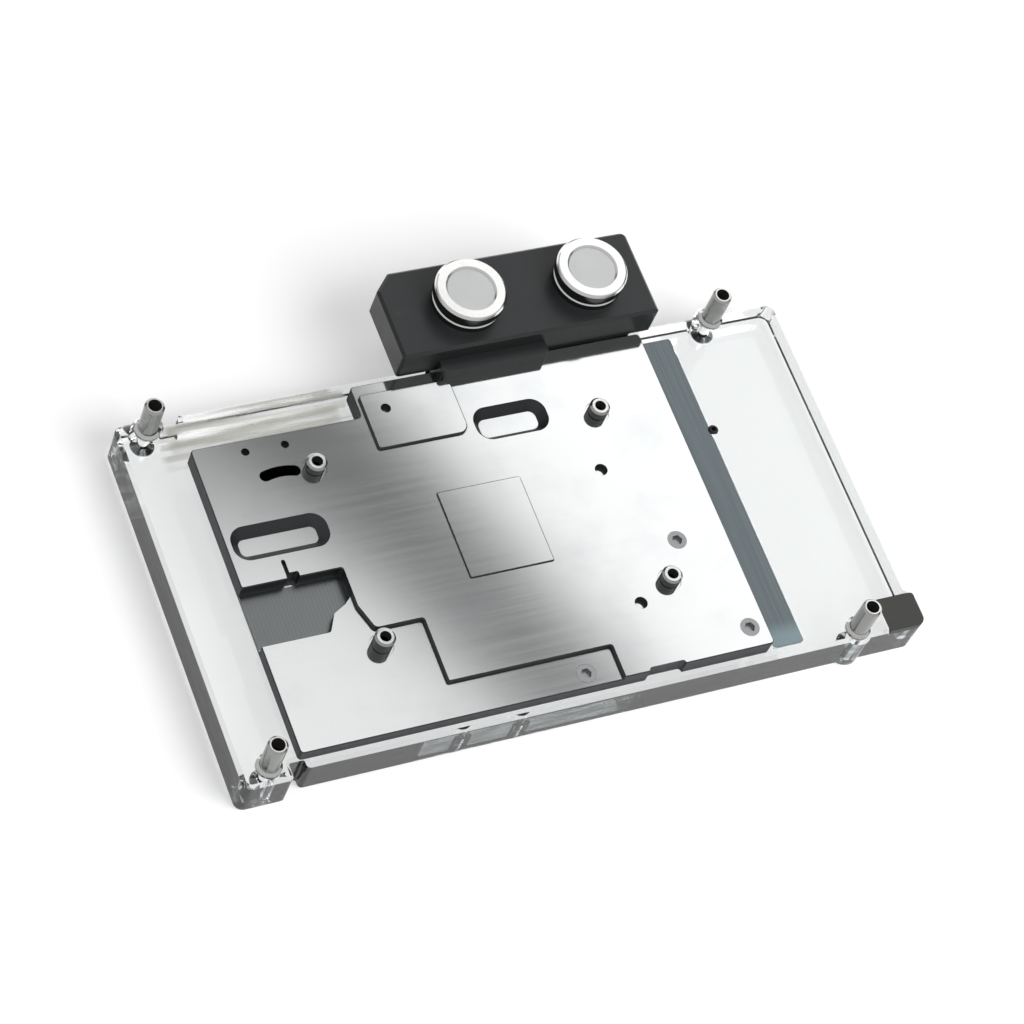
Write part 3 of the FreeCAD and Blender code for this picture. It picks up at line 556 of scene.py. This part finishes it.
def acetalFinish():
    look = acetalLook
    material, finish = newMaterial("black_acetal")
    place = finish.place()
    milled = finish.stretchedNoise(place, look["milled"], detail=2)
    wear = finish.noise(place, look["wear"], detail=5)
    # painted light and shade: level faces lighter, walls darker
    tone = finish.blend(finish.level(*look["levelFace"]), look["side"], look["top"])
    tone = finish.blend(wear.smooth(*look["scuffing"]) * look["scuffShare"], tone, look["scuff"])
    roughness = look["roughness"] + wear.around(look["wearRoughness"]) + milled.around(look["millRoughness"])
    relief = finish.bump(milled, *look["millRelief"])
    finish.output(finish.principled(Base_Color=tone, Roughness=roughness, IOR=look["ior"], Normal=relief))
    return material


# Light strip's cover: brushed along its length, paler at the front end

stripLook = {
    "colour": colour(115, 124, 128),
    "front": colour(132, 150, 155),
    "streak": colour(102, 111, 115),
    "metallic": 0.6,
    "roughness": 0.4,
    "brushRoughness": 0.2,
    "brush": (2600, 24, 300),
    "brushDepth": (0.3, 0.7),
    "brushRelief": (0.15, 0.01 * mm),
    "frontLength": (2.0, 7.0),         # mm
}


def stripFinish():
    look = stripLook
    material, finish = newMaterial("strip_anodised")
    front = finish.fromCorner(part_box("light_cover")[0])[1]
    brushed = finish.stretchedNoise(finish.place(), look["brush"])
    tone = finish.blend(brushed.smooth(*look["brushDepth"]), look["streak"], look["colour"])
    tone = finish.blend(1 - front.smooth(*look["frontLength"]), tone, look["front"])
    roughness = look["roughness"] + brushed.around(look["brushRoughness"])
    relief = finish.bump(brushed, *look["brushRelief"])
    finish.output(finish.principled(Base_Color=tone, Metallic=look["metallic"], Roughness=roughness,
                                    Normal=relief))
    return material


# Light board and its LEDs, under the strip. LEDs, pads and tracks are in mm, and near and far are
# counted from the row's middle line.

boardLook = {
    "mask": colour(214, 216, 212),
    "copper": colour(196, 150, 110),
    "tin": colour(196, 198, 200),
    "ledCount": 14,
    "ledWidth": 3.0,
    "padNear": 1.6,
    "padFar": 2.5,
    "padHalfLength": 0.9,
    "trackFar": 2.2,
    "track": 0.5,
    "printEdge": 0.05,
    "trackShare": 0.25,                # how far the copper shows through the lacquer
    "roughness": 0.42,
    "padRoughness": 0.15,              # less on the pads
    "unevenness": 0.1,
    "grain": 1200,
    "grainRelief": (0.1, 0.01 * mm),
    "printRelief": (0.4, 0.03 * mm),
}


def ledRow(finish):
    low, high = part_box("light_leds")
    left, front = finish.fromCorner(low)[:2]
    width = boardLook["ledWidth"]
    pitch = ((high.y - low.y) / mm - width) / (boardLook["ledCount"] - 1)
    along = (((front - width / 2) / pitch).work("ADD", 0.5).work("FRACT") - 0.5) * pitch
    return left - width / 2, along


def boardFinish():
    look = boardLook
    material, finish = newMaterial("circuit_board")
    across, along = ledRow(finish)
    edge = look["printEdge"]
    near, far, end = look["padNear"], look["padFar"], look["padHalfLength"]
    inner, outer = look["trackFar"] - look["track"], look["trackFar"]
    pads = across.between(-far, -near, edge) + across.between(near, far, edge)
    pads = pads * along.between(-end, end, edge)
    tracks = across.between(-outer, -inner, edge) + across.between(inner, outer, edge)
    grain = finish.noise(finish.place(), look["grain"])
    tone = finish.blend(tracks * look["trackShare"], look["mask"], look["copper"])
    tone = finish.blend(pads, tone, look["tin"])
    roughness = look["roughness"] - pads * look["padRoughness"] + grain.around(look["unevenness"])
    grained = finish.bump(grain, *look["grainRelief"])
    relief = finish.bump(tracks + pads, *look["printRelief"], grained)
    finish.output(finish.principled(Base_Color=tone, Roughness=roughness, Normal=relief))
    return material


ledLook = {
    "housing": colour(242, 242, 238),
    "resin": colour(228, 206, 96),
    "window": (1.0, 1.1),              # mm from the LED's middle, where its round window ends
    "downward": -0.5,                  # the window is on the face that looks down
    "roughness": 0.35,
    "unevenness": 0.1,
    "grain": 2500,
    "grainRelief": (0.1, 0.01 * mm),
    "windowRelief": (0.5, 0.1 * mm),
}


def ledFinish():
    look = ledLook
    material, finish = newMaterial("led_resin")
    across, along = ledRow(finish)
    below = finish.upright() < look["downward"]
    window = 1 - (across * across + along * along).work("SQRT").smooth(*look["window"])
    grain = finish.noise(finish.place(), look["grain"])
    tone = finish.blend(window * below, look["housing"], look["resin"])
    roughness = look["roughness"] + grain.around(look["unevenness"])
    relief = finish.bump(1 - window, *look["windowRelief"], finish.bump(grain, *look["grainRelief"]))
    finish.output(finish.principled(Base_Color=tone, Roughness=roughness, Normal=relief))
    return material


# Jet plate, seals, grommet, screws and corner pad: one plain tone with a little grain and wear

plainLook = {
    "darker": 0.1,                     # share that worn places are darker by
    "unevenness": 0.1,
    "wear": 70,
    "grain": 900,
    "grainRelief": (0.1, 0.03 * mm),
}
plainTones = {
    "jet_steel": {"colour": colour(190, 190, 188), "roughness": 0.3, "metallic": 1.0},
    "seal_rubber": {"colour": colour(26, 26, 27), "roughness": 0.55, "metallic": 0.0},
    "screw_steel": {"colour": colour(170, 172, 174), "roughness": 0.3, "metallic": 1.0},
    "black_pad": {"colour": colour(58, 58, 56), "roughness": 0.6, "metallic": 0.0},
}


def plainFinish(name):
    look = plainLook
    tone = plainTones[name]
    material, finish = newMaterial(name)
    place = finish.place()
    grain = finish.noise(place, look["grain"])
    wear = finish.noise(place, look["wear"])
    darker = tuple(level * (1 - look["darker"]) for level in tone["colour"][:3]) + (1.0,)
    roughness = tone["roughness"] + wear.around(look["unevenness"])
    relief = finish.bump(grain, *look["grainRelief"])
    finish.output(finish.principled(Base_Color=finish.blend(wear, tone["colour"], darker),
                                    Metallic=tone["metallic"], Roughness=roughness, Normal=relief))
    return material


materials = {
    "clear_acrylic": clearFinish(),
    "nickel": coldFinish(),
    "steel": plainFinish("jet_steel"),
    "seal_rubber": plainFinish("seal_rubber"),
    "acetal": acetalFinish(),
    "plug_nickel": plugFinish(),
    "screw_steel": plainFinish("screw_steel"),
    "strip_anodised": stripFinish(),
    "circuit_board": boardFinish(),
    "led_resin": ledFinish(),
    "black_pad": plainFinish("black_pad"),
}
for part in frame["record"]["subparts"]:
    dress(part["node"], materials[part["material_slot"]])
cornerPost = turnedFinish("corner_post_nickel", cornerPostLook)
diePost = turnedFinish("die_post_nickel", diePostLook)
for nodeName in nodes:
    if nodeName.startswith("standoff_") and nodeName != "standoff_screws":
        dress(nodeName, cornerPost)
    if nodeName.startswith("die_post_"):
        dress(nodeName, diePost)
print("materials made")
